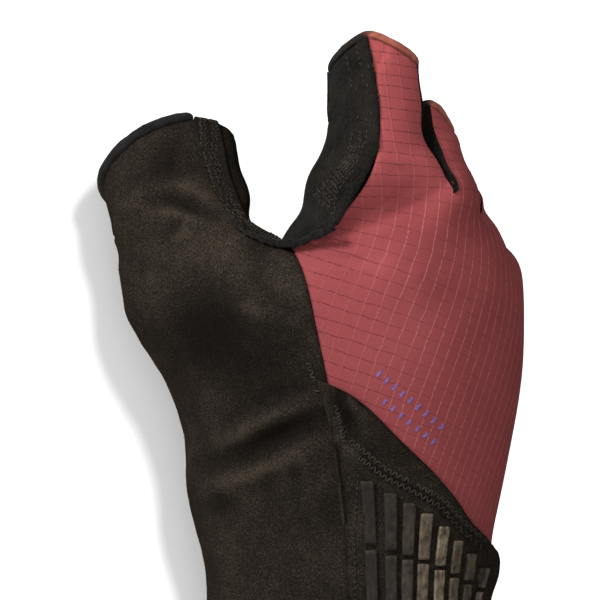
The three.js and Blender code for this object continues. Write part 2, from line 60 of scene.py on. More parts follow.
def add_node(tree, kind, inputs=(), out=0, stops=(), **settings):
    """Adds a shader node and gives back one of its outputs. inputs maps a socket to a number, a colour
    or another node's output, and stops are the places and colours of a colour ramp."""
    made = tree.nodes.new("ShaderNode" + kind)
    for key, value in settings.items():
        setattr(made, key, value)
    for socket, value in dict(inputs).items():
        if isinstance(value, bpy.types.NodeSocket):
            tree.links.new(value, made.inputs[socket])
        else:
            made.inputs[socket].default_value = value
    for _ in stops[2:]:
        made.color_ramp.elements.new(0.5)
    for i, (place, colour) in enumerate(stops):
        made.color_ramp.elements[i].position = place
        made.color_ramp.elements[i].color = linear(colour)
    return made.outputs[out] if made.outputs else made


def new_material(name, roughness, specular, sheen=0.0, sheen_colour="#ffffff"):
    """A material with a function that adds nodes to it, and one that gives it its colour and relief."""
    material = bpy.data.materials.new(name)
    material.use_nodes = True
    tree = material.node_tree
    tree.nodes.clear()
    node = partial(add_node, tree)
    surface = node("BsdfPrincipled", {
        "Roughness": roughness, "Specular IOR Level": specular, "Sheen Weight": sheen,
        "Sheen Roughness": 0.5, "Sheen Tint": linear(sheen_colour)})
    node("OutputMaterial", {"Surface": surface})

    def finish(colour, height=None, depth_mm=0.1, strength=1.0):
        tree.links.new(colour, surface.node.inputs["Base Color"])
        if height:
            normal = node("Bump", {"Height": height, "Distance": depth_mm * MM, "Strength": strength})
            tree.links.new(normal, surface.node.inputs["Normal"])
        return material

    return node, finish


def per(size_mm):
    """The scale of a pattern whose marks are about this many millimetres across."""
    return 1 / (size_mm * MM)


def suede_material(name, dark, middle, light):
    """Brushed synthetic suede: the nap lies in patches, so it looks mottled, dry and a little dust-grey.
    The "tone" attribute adds painted shade and painted light from the cloth's folds and seams.
    """
    node, finish = new_material(name, 0.95, 0.06, 0.05, "#8a7566")
    place = node("TexCoord", out="Object")
    tone = node("Attribute", out="Fac", attribute_name="tone")
    broad = node("TexNoise", {"Vector": place, "Scale": per(15.0), "Detail": 3.0, "Distortion": 0.6})
    patch = node("TexNoise", {"Vector": place, "Scale": per(3.4), "Detail": 4.0, "Roughness": 0.65})
    grain = node("TexNoise", {"Vector": place, "Scale": per(0.42), "Detail": 3.0, "Roughness": 0.7})
    nap = node("Math", {0: broad, 1: 0.3, 2: tone}, operation="MULTIPLY_ADD")
    nap = node("Math", {0: patch, 1: 0.3, 2: nap}, operation="MULTIPLY_ADD")
    speck = node("Math", {0: grain, 1: 1.5, 2: -0.3}, operation="MULTIPLY_ADD")
    nap = node("Math", {0: nap, 1: speck}, operation="ADD")
    nap = node("Math", {0: nap, 1: 0.8}, operation="MULTIPLY")
    colour = node("ValToRGB", {"Fac": nap}, stops=[(0.33, dark), (0.6, middle), (0.88, light)])
    fuzz = node("Math", {0: patch, 1: 0.8, 2: grain}, operation="MULTIPLY_ADD")
    return finish(colour, fuzz, 0.2)


def knit_material(name, dark, light, loop_mm):
    """Polyester knit: small matt loops, near black and a little dust-grey in random patches. The
    "tone" attribute adds painted shade and painted light from the cloth's folds and seams.
    """
    node, finish = new_material(name, 0.9, 0.08, 0.05)
    place = node("TexCoord", out="Object")
    tone = node("Attribute", out="Fac", attribute_name="tone")
    loops = node("TexVoronoi", {"Vector": place, "Scale": per(loop_mm), "Randomness": 0.75})
    fleck = node("TexNoise", {"Vector": place, "Scale": per(0.7), "Detail": 3.0, "Roughness": 0.75})
    broad = node("TexNoise", {"Vector": place, "Scale": per(6.0), "Detail": 2.0})
    shade = node("Math", {0: broad, 1: 0.45, 2: tone}, operation="MULTIPLY_ADD")
    shade = node("Math", {0: fleck, 1: 0.7, 2: shade}, operation="MULTIPLY_ADD")
    shade = node("Math", {0: loops, 1: -0.2, 2: shade}, operation="MULTIPLY_ADD")
    colour = node("ValToRGB", {"Fac": shade}, stops=[(0.32, dark), (0.75, light)])
    height = node("Math", {0: loops, 1: -1.0, 2: fleck}, operation="MULTIPLY_ADD")
    return finish(colour, height, 0.2)


def ripstop_material(name):
    """Nylon ripstop: plain weave with a grid of thicker threads. The long threads catch the light on
    the outer side of the hand, and the cross threads read as dark dashes on the thumb side. The
    cloth's coordinates are in tenths of a metre, so a noise of scale 300 has marks of 0.33 mm."""
    node, finish = new_material(name, 0.75, 0.12, 0.12, "#d98a80")
    place = node("TexCoord", out="Object")
    cloth = node("UVMap", uv_map="cloth", out="UV")
    outer = node("Attribute", out="Fac", attribute_name="outer")
    sway = node("TexNoise", {"Vector": cloth, "Scale": 22.0, "Detail": 1.0})
    dash = node("TexNoise", {"Vector": cloth, "Scale": 120.0, "Detail": 2.0})
    weave = node("TexNoise", {"Vector": cloth, "Scale": 300.0, "Detail": 2.0, "Roughness": 0.75})
    broad = node("TexNoise", {"Vector": place, "Scale": per(22.0), "Detail": 2.0})
    wobble = node("Math", {0: sway, 1: 0.008, 2: -0.004}, operation="MULTIPLY_ADD")
    threads, near = {}, {}
    for axis in ("X", "Y"):
        along = node("SeparateXYZ", {"Vector": cloth}, out=axis)
        along = node("Math", {0: along, 1: wobble}, operation="ADD")
        near[axis] = node("Math", {0: along, 1: GRID_PITCH / 2}, operation="PINGPONG")
        threads[axis] = node("MapRange", {"Value": near[axis], "From Min": 0.0008, "From Max": 0.0024,
                                          "To Min": 1.0, "To Max": 0.0})
    tone = node("Math", {0: broad, 1: 0.4, 2: 0.0}, operation="MULTIPLY_ADD")
    tone = node("Math", {0: weave, 1: 0.6, 2: tone}, operation="MULTIPLY_ADD")
    base = node("ValToRGB", {"Fac": tone}, stops=[(0.3, "#7c3638"), (0.5, "#8b4042"), (0.7, "#9a4b4c")])
    # Painted light: the red is paler on the index finger
    base = node("Mix", {0: node("Attribute", out="Fac", attribute_name="painted_finger_light"), 6: base,
                        7: linear("#b75759")}, out=2, data_type="RGBA")
    # Painted highlight along the long threads, stronger towards the outer side of the hand
    patchy = node("MapRange", {"Value": dash, "From Min": 0.36, "From Max": 0.58,
                               "To Min": 0.08, "To Max": 0.5})
    lit = node("Math", {0: threads["X"], 1: patchy}, operation="MULTIPLY")
    share = node("MapRange", {"Value": outer, "To Min": 0.16, "To Max": 0.85})
    lit = node("Math", {0: lit, 1: share}, operation="MULTIPLY")
    colour = node("Mix", {0: lit, 6: base, 7: linear("#c9857c")}, out=2, data_type="RGBA")
    # Painted shade along the cross threads, stronger towards the thumb side
    patchy = node("MapRange", {"Value": dash, "From Min": 0.62, "From Max": 0.42,
                               "To Min": 0.15, "To Max": 0.8})
    dark = node("Math", {0: threads["Y"], 1: patchy}, operation="MULTIPLY")
    share = node("MapRange", {"Value": outer, "To Min": 0.9, "To Max": 0.25})
    dark = node("Math", {0: dark, 1: share}, operation="MULTIPLY")
    colour = node("Mix", {0: dark, 6: colour, 7: linear("#55201f")}, out=2, data_type="RGBA")
    height = node("Math", {0: threads["X"], 1: 0.6}, operation="MULTIPLY")
    height = node("Math", {0: weave, 1: 0.5, 2: height}, operation="MULTIPLY_ADD")
    height = node("Math", {0: threads["Y"], 1: -0.4, 2: height}, operation="MULTIPLY_ADD")
    return finish(colour, height, 0.12, 0.8)


def woven_material(name, dark, light, thread_mm, depth_mm, other=None):
    """Folded woven trim: fine threads that catch the light on a soft edge. Where the attribute
    "other" is 1, the trim is turned from the neighbouring cloth and has its two colours."""
    node, finish = new_material(name, 0.85, 0.1, 0.06)
    place = node("TexCoord", out="Object")
    fine = node("TexNoise", {"Vector": place, "Scale": per(thread_mm), "Detail": 3.0, "Roughness": 0.75})
    broad = node("TexNoise", {"Vector": place, "Scale": per(thread_mm * 6), "Detail": 2.0})
    tone = node("Math", {0: broad, 1: 0.4}, operation="MULTIPLY")
    tone = node("Math", {0: fine, 1: 0.6, 2: tone}, operation="MULTIPLY_ADD")
    colour = node("ValToRGB", {"Fac": tone}, stops=[(0.34, dark), (0.68, light)])
    if other:
        turned = node("ValToRGB", {"Fac": tone}, stops=[(0.34, other[0]), (0.68, other[1])])
        share = node("Attribute", out="Fac", attribute_name="other")
        colour = node("Mix", {0: share, 6: colour, 7: turned}, out=2, data_type="RGBA")
    return finish(colour, fine, depth_mm)


def silicone_material(name):
    """Silicone printed in bars: smooth and a little tacky, so dust and wear make it paler in streaks.
    Where a bar's attribute is high, it takes much paler colours too: a painted highlight.
    """
    node, finish = new_material(name, 0.55, 0.2)
    place = node("TexCoord", out="Object")
    painted_glint = node("Attribute", out="Fac", attribute_name="painted_glint")
    drawn = node("Mapping", {"Vector": place, "Scale": (1.0, 0.22, 1.0)})
    streak = node("TexNoise", {"Vector": drawn, "Scale": per(0.8), "Detail": 4.0, "Roughness": 0.75})
    smear = node("TexNoise", {"Vector": place, "Scale": per(2.6), "Detail": 3.0, "Roughness": 0.6})
    wear = node("Math", {0: smear, 1: 0.4}, operation="MULTIPLY")
    wear = node("Math", {0: streak, 1: 0.6, 2: wear}, operation="MULTIPLY_ADD")
    dull = node("ValToRGB", {"Fac": wear}, stops=[(0.38, "#171310"), (0.66, "#2b2521")])
    # Painted highlight colours, streaked like the dust and wear
    dust_and_painted_glint = node("ValToRGB", {"Fac": wear}, stops=[(0.36, "#3a3229"), (0.64, "#94856f")])
    colour = node("Mix", {0: painted_glint, 6: dull, 7: dust_and_painted_glint}, out=2, data_type="RGBA")
    return finish(colour, wear, 0.15, 0.7)


def print_material(name):
    """Flexible print on cloth: even, matt and slightly rubbed."""
    node, finish = new_material(name, 0.7, 0.15)
    place = node("TexCoord", out="Object")
    tone = node("TexNoise", {"Vector": place, "Scale": per(0.5), "Detail": 3.0})
    return finish(node("ValToRGB", {"Fac": tone}, stops=[(0.35, "#644878"), (0.65, "#8766a0")]))


# The ripstop's thick threads are 3.45 mm apart, in the cloth's tenths of a metre
GRID_PITCH = 0.0345
suede = suede_material("brushed_suede", "#120e0b", "#231e19", "#423a31")
inner_suede = suede_material("brushed_suede_dark", "#110e0c", "#1c1815", "#302b26")
ripstop = ripstop_material("nylon_ripstop")
knit = knit_material("polyester_knit", "#080706", "#28241f", 0.45)
binding = woven_material("woven_binding", "#0a0a0b", "#2b282a", 0.45, 0.35)
rolled = woven_material("rolled_seam", "#070606", "#201c1a", 0.6, 0.5)
coral = woven_material("coral_turned_hem", "#80403a", "#b8705a", 0.4, 0.15, ("#0e0c0b", "#2e2925"))
thread = woven_material("polyester_thread", "#15120f", "#4a4138", 0.3, 0.05)
# Near-black dots of painted shade where the needle went through the cloth
painted_hole_shade = woven_material("needle_hole_shade", "#050404", "#0c0a09", 0.5, 0.02)
silicone = silicone_material("printed_silicone")
ink = print_material("flexible_print")


# Panels: each CAD wall is copied, smoothed and worked like cloth

# The cut edges keep a crease where they turn by more than SHARP. Faces that meet at less than BENT are
# one part of a skin, and a part belongs to the skin that it meets at less than FOLDED.
SHARP, BENT, FOLDED = (math.radians(angle) for angle in (52, 65, 80))
# A skin has the other skin at most this far behind it, in mm
WALL_AT_MOST = 2.0
# What the cut edges are widened by, in mm, to close the seams between the CAD solids
SEAM_WIDENING = 0.3
# Places in the plan view where the cloth is drawn sideways, each with its reach and its move, in mm
SHIFTS = [
    ((32.9, 39.6), 6.5, (4.2, 0.0)), ((51.0, -60.0), 6.5, (2.8, -1.0)),
    ((1.3, 41.5), 6.5, (-3.2, 0.0)), ((50.0, 21.5), 9.5, (1.9, 0.0)),
    ((-9.8, 31.2), 6.5, (-5.0, -0.4)), ((-47.0, 4.5), 13.0, (-4.0, 0.0)),
    ((-31.5, -40.5), 11.0, (-2.2, 0.0)), ((-23.0, 52.5), 7.0, (1.8, 0.6)),
    ((28.0, 60.0), 5.5, (1.0, 0.0)), ((37.0, 57.0), 5.0, (-1.7, 0.0)),
    ((30.5, 46.0), 4.5, (1.0, 0.0)), ((38.0, 46.0), 4.5, (-1.2, 0.0)),
    ((41.0, 35.5), 3.5, (1.7, 0.0)), ((46.0, 34.0), 3.5, (-1.3, 0.0)),
]
# Only cloth above the table is drawn sideways: none of it below LOOSE_FROM, and all of it LOOSE_OVER
# higher, in mm
LOOSE_FROM, LOOSE_OVER = 4.0, 8.0
# Evening out fades to FINGER_SHARE of itself towards the fingers, over FINGER_FADE mm up to
# y = FINGER_FROM mm, so that they keep their form
FINGER_FROM, FINGER_FADE, FINGER_SHARE = 48.0, 10.0, 0.12
finished = {}


def connected(faces, joined):
    """Groups of faces joined over edges that pass a test, the one with the most area first."""
    todo = set(faces)
    groups = []
    while todo:
        start = todo.pop()
        group, stack = [start], [start]
        while stack:
            for edge in stack.pop().edges:
                if not joined(edge):
                    continue
                for face in edge.link_faces:
                    if face in todo:
                        todo.remove(face)
                        group.append(face)
                        stack.append(face)
        groups.append(group)
    return sorted(groups, key=lambda g: -sum(face.calc_area() for face in g))


def wall_groups(bm):
    """A wall's outer skin, and then its cut edges, which are too deep to see through."""
    tree = BVHTree.FromBMesh(bm)
    skins = []
    for face in bm.faces:
        start = face.calc_center_median() - face.normal * 0.01 * MM
        reach = tree.ray_cast(start, -face.normal)[3]
        if reach is not None and reach < WALL_AT_MOST * MM:
            skins.append(face)
    parts = connected(skins, lambda edge: len(edge.link_faces) == 2 and edge.calc_face_angle(0) < BENT)
    outer, inner = set(parts[0]), set(parts[1])
    for part in parts[2:]:
        beside = {face for here in part for edge in here.edges
                  if edge.calc_face_angle(0) < FOLDED for face in edge.link_faces}
        if beside & outer and not beside & inner:
            outer.update(part)
        elif beside & inner and not beside & outer:
            inner.update(part)
    return outer, set(bm.faces) - outer - inner


def merged_copy(nodes):
    bm = bmesh.new()
    for node_name in nodes:
        bm.from_mesh(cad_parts[node_name].data)
    bmesh.ops.remove_doubles(bm, verts=bm.verts, dist=2e-6)
    bm.normal_update()
    return bm


def widen_outline(cut, amount):
    """Moves the cut edges of a wall outwards, so that panels meet at their seams."""
    moves = {}
    for face in cut:
        for vert in face.verts:
            moves.setdefault(vert, []).append(face.normal.copy())
    for vert, normals in moves.items():
        mean = sum(normals, Vector()) / len(normals)
        if mean.length > 0.3:
            vert.co += mean.normalized() * amount(vert.co, mean.normalized()) * MM / mean.length


def new_piece(name, bm, material):
    mesh = bpy.data.meshes.new(name)
    bm.to_mesh(mesh)
    bm.free()
    piece = bpy.data.objects.new(name, mesh)
    bpy.context.scene.collection.objects.link(piece)
    mesh.materials.append(material)
    mesh.shade_smooth()
    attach(piece, "root")
    finished[name] = piece
    return piece


def smooth_copy(bm, nodes, name, levels, material):
    bmesh.ops.join_triangles(bm, faces=bm.faces, angle_face_threshold=math.radians(50),
                             angle_shape_threshold=math.radians(70))
    piece = new_piece(name, bm, material)
    smooth = piece.modifiers.new("smooth", "SUBSURF")
    smooth.levels = smooth.render_levels = levels
    graph = bpy.context.evaluated_depsgraph_get()
    piece.data = bpy.data.meshes.new_from_object(piece.evaluated_get(graph))
    piece.modifiers.clear()
    piece.data.name = name
    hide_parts(*nodes)
    return piece


def cloth_copy(node_name, name, levels, material, wider=lambda place, outwards: SEAM_WIDENING):
    """A smooth copy of a CAD wall. "skin" is 1 on its outer side, and "rim" is 1 on its outline."""
    bm = merged_copy([node_name])
    outer, cut = wall_groups(bm)
    widen_outline(cut, wider)
    skin = bm.verts.layers.float.new("skin")
    rim = bm.verts.layers.float.new("rim")
    creases = bm.edges.layers.float.new("crease_edge")
    for face in outer:
        for vert in face.verts:
            vert[skin] = 1.0
    for edge in bm.edges:
        sides = {face in cut for face in edge.link_faces}
        corner = sides == {True} and edge.calc_face_angle(0) > SHARP
        if len(sides) == 2 or corner:
            edge[creases] = 1.0
        if len(sides) == 2 and any(face in outer for face in edge.link_faces):
            for vert in edge.verts:
                vert[rim] = 1.0
    return smooth_copy(bm, [node_name], name, levels, material)


def trim_copy(nodes, name, levels, crease, material, swell=0.0):
    """A smooth and slightly fuller copy of narrow CAD pieces, with a crease along sharp edges."""
    bm = merged_copy(nodes)
    for vert, normal in [(vert, vert.normal.copy()) for vert in bm.verts]:
        vert.co += normal * swell * MM
    creases = bm.edges.layers.float.new("crease_edge")
    for edge in bm.edges:
        if len(edge.link_faces) == 2 and edge.calc_face_angle(0) > SHARP:
            edge[creases] = crease
    piece = smooth_copy(bm, nodes, name, levels, material)
    place_points(piece, drawn(read(piece)))
    return piece


def read(piece, attribute=None):
    """The piece's points, or one of its numbers at each point, as an array."""
    mesh = piece.data
    if attribute:
        values = np.zeros(len(mesh.vertices), np.float32)
        mesh.attributes[attribute].data.foreach_get("value", values)
        return values.astype(float)
    values = np.zeros(len(mesh.vertices) * 3, np.float32)
    mesh.vertices.foreach_get("co", values)
    return values.reshape(-1, 3).astype(float)


def store(piece, attribute, values):
    layer = piece.data.attributes.new(attribute, "FLOAT", "POINT")
    layer.data.foreach_set("value", np.asarray(values, np.float32))


def normals_of(piece):
    values = np.zeros(len(piece.data.vertices) * 3, np.float32)
    piece.data.vertices.foreach_get("normal", values)
    return values.reshape(-1, 3).astype(float)


def place_points(piece, points):
    """Puts the piece's points at new places, none of them below the table."""
    points[:, 2] = np.maximum(points[:, 2], 0.0)
    piece.data.vertices.foreach_set("co", points.astype(np.float32).ravel())
    piece.data.update()


def push(piece, heights_mm):
    """Moves each point along its normal."""
    place_points(piece, read(piece) + normals_of(piece) * (heights_mm * MM)[:, None])


def from_line(points, line_mm):
    """Distance in the plan view to a line through stops, in mm, and the share of its length."""
    stops = np.array(line_mm, float)
    best = np.full(len(points), 1e9)
    share = np.zeros(len(points))
    lengths = np.linalg.norm(np.diff(stops, axis=0), axis=1)
    before = np.concatenate([[0], np.cumsum(lengths)])
    plan = points[:, :2] / MM
    for i, length in enumerate(lengths):
        along = stops[i + 1] - stops[i]
        t = np.clip(((plan - stops[i]) @ along) / length ** 2, 0, 1)
        distance = np.linalg.norm(plan - stops[i] - t[:, None] * along, axis=1)
        nearer = distance < best
        best[nearer] = distance[nearer]
        share[nearer] = (before[i] + t[nearer] * length) / before[-1]
    return best, share


def fold(points, normals, line, width, depth, shoulder=0.45):
    """Height of a fold along a line: a valley where depth is positive, with soft shoulders."""
    distance, share = from_line(points, line)
    taper = np.sin(np.pi * np.clip(share * 0.9 + 0.05, 0, 1)) ** 0.6
    upward = np.clip((normals[:, 2] - 0.05) / 0.3, 0, 1)
    valley = np.exp(-(distance / width) ** 2)
    raised = np.exp(-((distance - 2.1 * width) / (0.9 * width)) ** 2)
    return depth * taper * upward * (shoulder * raised - valley)


def ripple(points, feature_mm, seed):
    offset = Vector((seed * 7.3, seed * 3.1, seed * 5.7))
    scale = 1 / (feature_mm * MM)
    return np.array([noise.noise(Vector(p) * scale + offset) for p in points])


def distance_to(points, places):
    """Distance in mm from each point to the nearest of some places."""
    tree = KDTree(len(places))
    for i, place in enumerate(places):
        tree.insert(place, i)
    tree.balance()
    return np.array([tree.find(p)[2] for p in points]) / MM


def relax(piece, free, rounds):
    """Evens out the wall where free is above 0, which takes away the CAD's flat facets."""
    edges = np.zeros(len(piece.data.edges) * 2, np.int32)
    piece.data.edges.foreach_get("vertices", edges)
    ends = np.concatenate([edges, edges.reshape(-1, 2)[:, ::-1].ravel()]).reshape(-1, 2)
    points = read(piece)
    count = np.bincount(ends[:, 0], minlength=len(points))[:, None]
    for _ in range(rounds):
        total = np.stack([np.bincount(ends[:, 0], points[ends[:, 1], axis], len(points))
                          for axis in range(3)], axis=1)
        points += 0.5 * free[:, None] * (total / count - points)
    place_points(piece, points)


def drawn(points):
    """Points of the cloth after it is drawn sideways at some places of the glove's upper side."""
    points = np.array(points, float)
    for centre, radius, move in SHIFTS:
        off = np.linalg.norm(points[:, :2] / MM - np.array(centre), axis=1) / radius
        amount = np.exp(-off ** 2) * np.clip((points[:, 2] / MM - LOOSE_FROM) / LOOSE_OVER, 0, 1)
        points[:, :2] += amount[:, None] * np.array(move) * MM
    return points


def work_cloth(piece, folds=(), waves=(), sink=0.45, pucker=0.25, bands=(), patches=(), eased=(),
               shade=0.16, rounds=0):
    """Evens the wall out, presses folds through it, sinks the outer skin into its seams, puckers it
    beside them, raises bands beside seams, eases it down to a line, and notes as "tone" painted
    shade and light: darker in the hollows of folds, ripples and puckers, in seams and on sunk bands,
    lighter on ridges and raised bands, and in listed light and dark patches."""
    skin = read(piece, "skin")
    on_rim = (read(piece, "rim") > 0.999) & (skin > 0.999)
    if rounds:
        points = read(piece)
        free = np.clip((distance_to(points, points[on_rim]) - 1.5) / 4, 0, 1)
        fingers = np.clip((FINGER_FROM - points[:, 1] / MM) / FINGER_FADE, FINGER_SHARE, 1)
        relax(piece, free * fingers, rounds)
    place_points(piece, drawn(read(piece)))
    points, normals = read(piece), normals_of(piece)
    outwards = normals * (2 * skin - 1)[:, None]
    distance = distance_to(points, points[on_rim])
    pressed = np.zeros(len(points))
    for feature, amount in waves:
        pressed += amount * ripple(points, feature, 5) * np.clip(distance / 4, 0, 1)
    for line, width, depth in folds:
        pressed += fold(points, outwards, line, width, depth)
    height = pucker * ripple(points, 2.6, 3) * np.exp(-(distance / 3.2) ** 2)
    # Painted shade in the hollows of folds, ripples and puckers, and painted light on their ridges
    tone = shade * (pressed + height)
    # Painted light and shade in listed patches, only on sides that face up
    for x, y, radius, amount in patches:
        off = ((points[:, 0] / MM - x) ** 2 + (points[:, 1] / MM - y) ** 2) / radius ** 2
        tone += amount * np.exp(-off) * np.clip(outwards[:, 2] * 3, 0, 1)
    for line, low, high, amount in bands:
        off = distance_to(points, line)
        step = np.clip((high - off) / 0.5 + 0.5, 0, 1) * np.clip((off - low) / 0.5 + 0.5, 0, 1)
        height += amount * step
        # Painted light on raised bands and painted shade on sunk ones
        tone += 0.05 * step * np.sign(amount)
    rim_dip = np.exp(-(distance / 0.7) ** 2)
    for line, reach, depth in eased:
        near = np.clip(1 - distance_to(points, line) / reach, 0, 1)
        pressed -= depth * near * near * (3 - 2 * near)
        rim_dip *= 1 - np.clip(3 * near, 0, 1)
    height -= sink * rim_dip
    # Painted shade along the seams
    tone -= 0.12 * rim_dip
    store(piece, "tone", tone)
    moved = outwards * pressed[:, None] + normals * (height * skin)[:, None]
    place_points(piece, points + moved * MM)
    return piece


# Lines along the seams

def even_stops(line, spacing):
    """Points at even steps along a line of points."""
    out, left = [Vector(line[0])], spacing
    for a, b in zip(line, line[1:]):
        a = Vector(a)
        length = (b - a).length
        while length > left:
            a = a.lerp(b, left / length)
            length -= left
            left = spacing
            out.append(a.copy())
        left -= length
    return out


def curve_through(stops, steps=12):
    """A smooth line through stops."""
    padded = [stops[0], *stops, stops[-1]]
    out = []
    for p0, p1, p2, p3 in zip(padded, padded[1:], padded[2:], padded[3:]):
        for k in range(steps):
            t = k / steps
            out.append(0.5 * (2 * p1 + (p2 - p0) * t + (2 * p0 - 5 * p1 + 4 * p2 - p3) * t * t
                              + (3 * p1 - p0 - 3 * p2 + p3) * t ** 3))
    return [*out, stops[-1]]


def outline_loops(node_name):
    """The outline of a CAD panel's outer skin, as loops of points with the panel on their left."""
    bm = merged_copy([node_name])
    outer = wall_groups(bm)[0]
    onward = {}
    for face in outer:
        for loop in face.loops:
            if sum(f in outer for f in loop.edge.link_faces) == 1:
                onward[loop.vert] = loop.link_loop_next.vert
    loops = []
    while onward:
        here = next(iter(onward))
        line = []
        while here in onward:
            line.append(here.co.copy())
            here = onward.pop(here)
        loops.append(line)
    bm.free()
    return loops


def seam_runs(node_name, beside, reach_mm=1.0):
    """The stretches of a panel's outline that lie beside another panel, the highest one first."""
    corners = [v.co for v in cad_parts[beside].data.vertices]
    runs = []
    for loop in outline_loops(node_name):
        near = [d < reach_mm for d in distance_to(loop, corners)]
        if all(near):
            runs.append([*loop, loop[0]])
            continue
        if not any(near):
            continue
        first = near.index(False)
        run = []
        for i in range(len(loop) + 1):
            at = (first + i) % len(loop)
            if near[at]:
                run.append(loop[at])
            elif run:
                runs.append(run)
                run = []
    runs = [[Vector(p) for p in drawn(run)] for run in runs if len(run) > 1]
    return sorted(runs, key=lambda run: -sum(p.z for p in run) / len(run))


def outline_rows(node_name):
    """A CAD panel's outline as closed lines on the drawn cloth."""
    return [[Vector(p) for p in drawn([*loop, loop[0]])] for loop in outline_loops(node_name)]


def fine_line(run):
    return even_stops(curve_through(run, 8), 0.4 * MM)


thumb_seam = seam_runs("thumb_gusset", "thumb_panel")[0]
side_seam = seam_runs("index_side_panel", "back_panel")[0]


# The panels

THUMB_FOLDS = [
    ([(-27.4, -31.7), (-18.4, -29.1), (-9.4, -24.5), (2.1, -20.1), (8.5, -18.9)], 2.6, 1.7),
    ([(-22.2, -26.6), (-15.8, -22.7), (-8.1, -17.6), (-0.4, -15.0)], 2.4, -0.9),
    ([(-24.8, -36.8), (-15.8, -34.2), (-9.4, -31.7), (-3.0, -30.4)], 2.2, -0.7),
    ([(-3.8, -30.4), (-3.8, -40.7)], 1.3, 0.5),
    ([(-41.5, 36.8), (-35.0, 36.3), (-29.9, 34.7), (-24.6, 32.2)], 1.6, 1.7),
    ([(-34.0, 40.5), (-28.5, 39.5)], 2.2, -0.8),
    ([(-38.1, 26.5), (-32.5, 32.2)], 1.4, 0.7),
    ([(-25.0, -41.6), (-19.0, -42.4)], 1.8, 0.5),
    ([(-21.0, 9.0), (-15.3, 8.6), (-11.0, 6.0)], 1.8, -0.5),
]
# Painted light and shade on the thumb: at x and y, with a radius in mm, the "tone" rises or falls by an
# amount
THUMB_PATCHES = [
    (-37.6, 45.2, 6.0, -0.22), (-31.2, 51.7, 4.0, 0.06), (-38.9, 23.4, 8.0, 0.10),
    (-22.2, 23.4, 8.0, 0.12), (-8.1, 14.5, 7.0, 0.08), (-13.8, 24.2, 3.5, -0.24),
    (-12.7, 17.8, 3.5, -0.10), (-15.3, 7.3, 3.2, 0.15), (-27.4, 2.9, 10.0, -0.32),
    (-15.8, -4.8, 10.0, -0.26), (-22.2, -42.4, 3.5, -0.16), (-20.9, -50.9, 10.0, 0.06),
    (4.7, -43.2, 6.0, -0.16), (-42.0, 10.6, 5.0, 0.10), (-4.0, -14.0, 8.0, -0.15),
]
work_cloth(
    cloth_copy("thumb_panel", "thumb_suede", 3, suede),
    folds=THUMB_FOLDS, patches=THUMB_PATCHES, waves=[(16.0, 0.45), (5.0, 0.25)], rounds=25,
)
palm = work_cloth(cloth_copy("palm_panel", "palm_suede", 3, suede), waves=[(15.0, 0.5), (6.0, 0.2)])
back = work_cloth(
    cloth_copy("back_panel", "back_ripstop", 3, ripstop),
    folds=[
        ([(0.5, 26.5), (7.3, 24.9), (14.4, 24.1)], 1.0, 0.5),
        ([(2.0, 22.4), (9.3, 21.0), (17.4, 21.6)], 1.3, 0.4),
        ([(17.0, 46.0), (20.5, 43.6), (25.0, 43.0)], 1.2, 0.25),
        ([(17.0, 50.5), (21.0, 48.4), (26.0, 48.0)], 1.2, 0.25),
    ],
    waves=[(20.0, 0.35)],
    pucker=0.2,
    rounds=70,
)
inner_thumb = work_cloth(
    cloth_copy("thumb_gusset", "thumb_inner_suede", 5, inner_suede),
    waves=[(7.0, 0.3)],
    pucker=0.3,
    bands=[(fine_line(thumb_seam), 0.0, 6.0, 0.7), (fine_line(thumb_seam), 2.6, 3.4, -0.2)],
)
side = work_cloth(
    cloth_copy("index_side_panel", "index_side_knit", 4, knit),
    waves=[(7.0, 0.25)],
    pucker=0.3,
    bands=[(fine_line(side_seam), 0.0, 3.4, 0.5), (fine_line(side_seam), 3.8, 8.2, 0.25)],
)
STRIPS = {
    "little_side_panel": "little_side_knit",
    "fourchette_index_middle": "index_middle_knit",
    "fourchette_middle_ring": "middle_ring_knit",
    "fourchette_ring_little": "ring_little_knit",
}
for node_name, piece_name in STRIPS.items():
    work_cloth(cloth_copy(node_name, piece_name, 3, knit), waves=[(8.0, 0.25)])


def flap_widening(place, outwards):
    """The flap's edge beside the suede laps over the seam below it."""
    return 2.2 if outwards.x < -0.5 and place.x < 20 * MM else SEAM_WIDENING


BORDER_ROW = [(8.5, -26.4), (12.7, -29.7), (18.3, -34.1), (25.0, -37.6), (32.7, -42.0), (37.3, -47.1),
              (43.9, -53.0)]
flap = work_cloth(
    cloth_copy("wrist_flap", "wrist_flap_suede", 3, suede, flap_widening),
    folds=[
        (BORDER_ROW, 1.1, 0.7),
        ([(7.0, -14.6), (9.4, -19.7), (11.6, -24.8)], 1.4, 1.5),
        ([(5.5, -23.5), (9.8, -28.0), (14.5, -31.5)], 1.3, -0.7),
    ],
    # Painted light and shade in "tone": x and y, a radius in mm, and an amount
    patches=[(9.4, -18.5, 2.6, -0.2), (9.0, -27.5, 3.0, 0.16), (22.0, -30.0, 6.0, -0.05)],
    waves=[(7.0, 0.35)],
    eased=[(fine_line(seam_runs("wrist_flap", "thumb_panel", 4.0)[0]), 4.5, 1.25)],
    sink=0.3,
)


# Hems, bindings and the rolled seam

